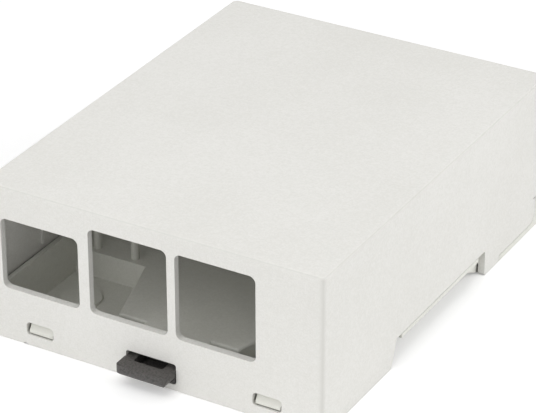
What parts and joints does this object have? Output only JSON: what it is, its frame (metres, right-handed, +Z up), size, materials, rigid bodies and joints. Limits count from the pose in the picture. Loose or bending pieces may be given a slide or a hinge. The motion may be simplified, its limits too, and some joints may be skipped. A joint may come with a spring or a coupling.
{
  "type": "din rail enclosure",
  "caption": "Low enclosure for a single-board computer on a 35 mm rail: cover with connector windows, base with rail seat and fixed hook, sprung sliding rail clip.",
  "frame": {"origin": "on the rail seat under the deck, over the rail's centre line, in the middle of the enclosure's width", "axes": "+X along the rail, -Y out of the wall with the connector windows and the clip's grip, +Z up from the rail to the cover's top"},
  "size_m": [0.071, 0.0944, 0.0322],
  "materials": {
    "light_grey": "fine satin texture",
    "black": "fine satin texture"
  },
  "bodies": {
    "enclosure": {"cover": "light_grey", "base": "light_grey"},
    "clip": {"rail_clip": "black"}
  },
  "joints": [
    {"name": "clip_slide", "type": "slide", "parent": "enclosure", "child": "clip", "axis": [0, -1, 0], "range_m": [0, 0.003], "stiffness_N_per_m": 1000, "springref_m": -0.001}
  ]
}
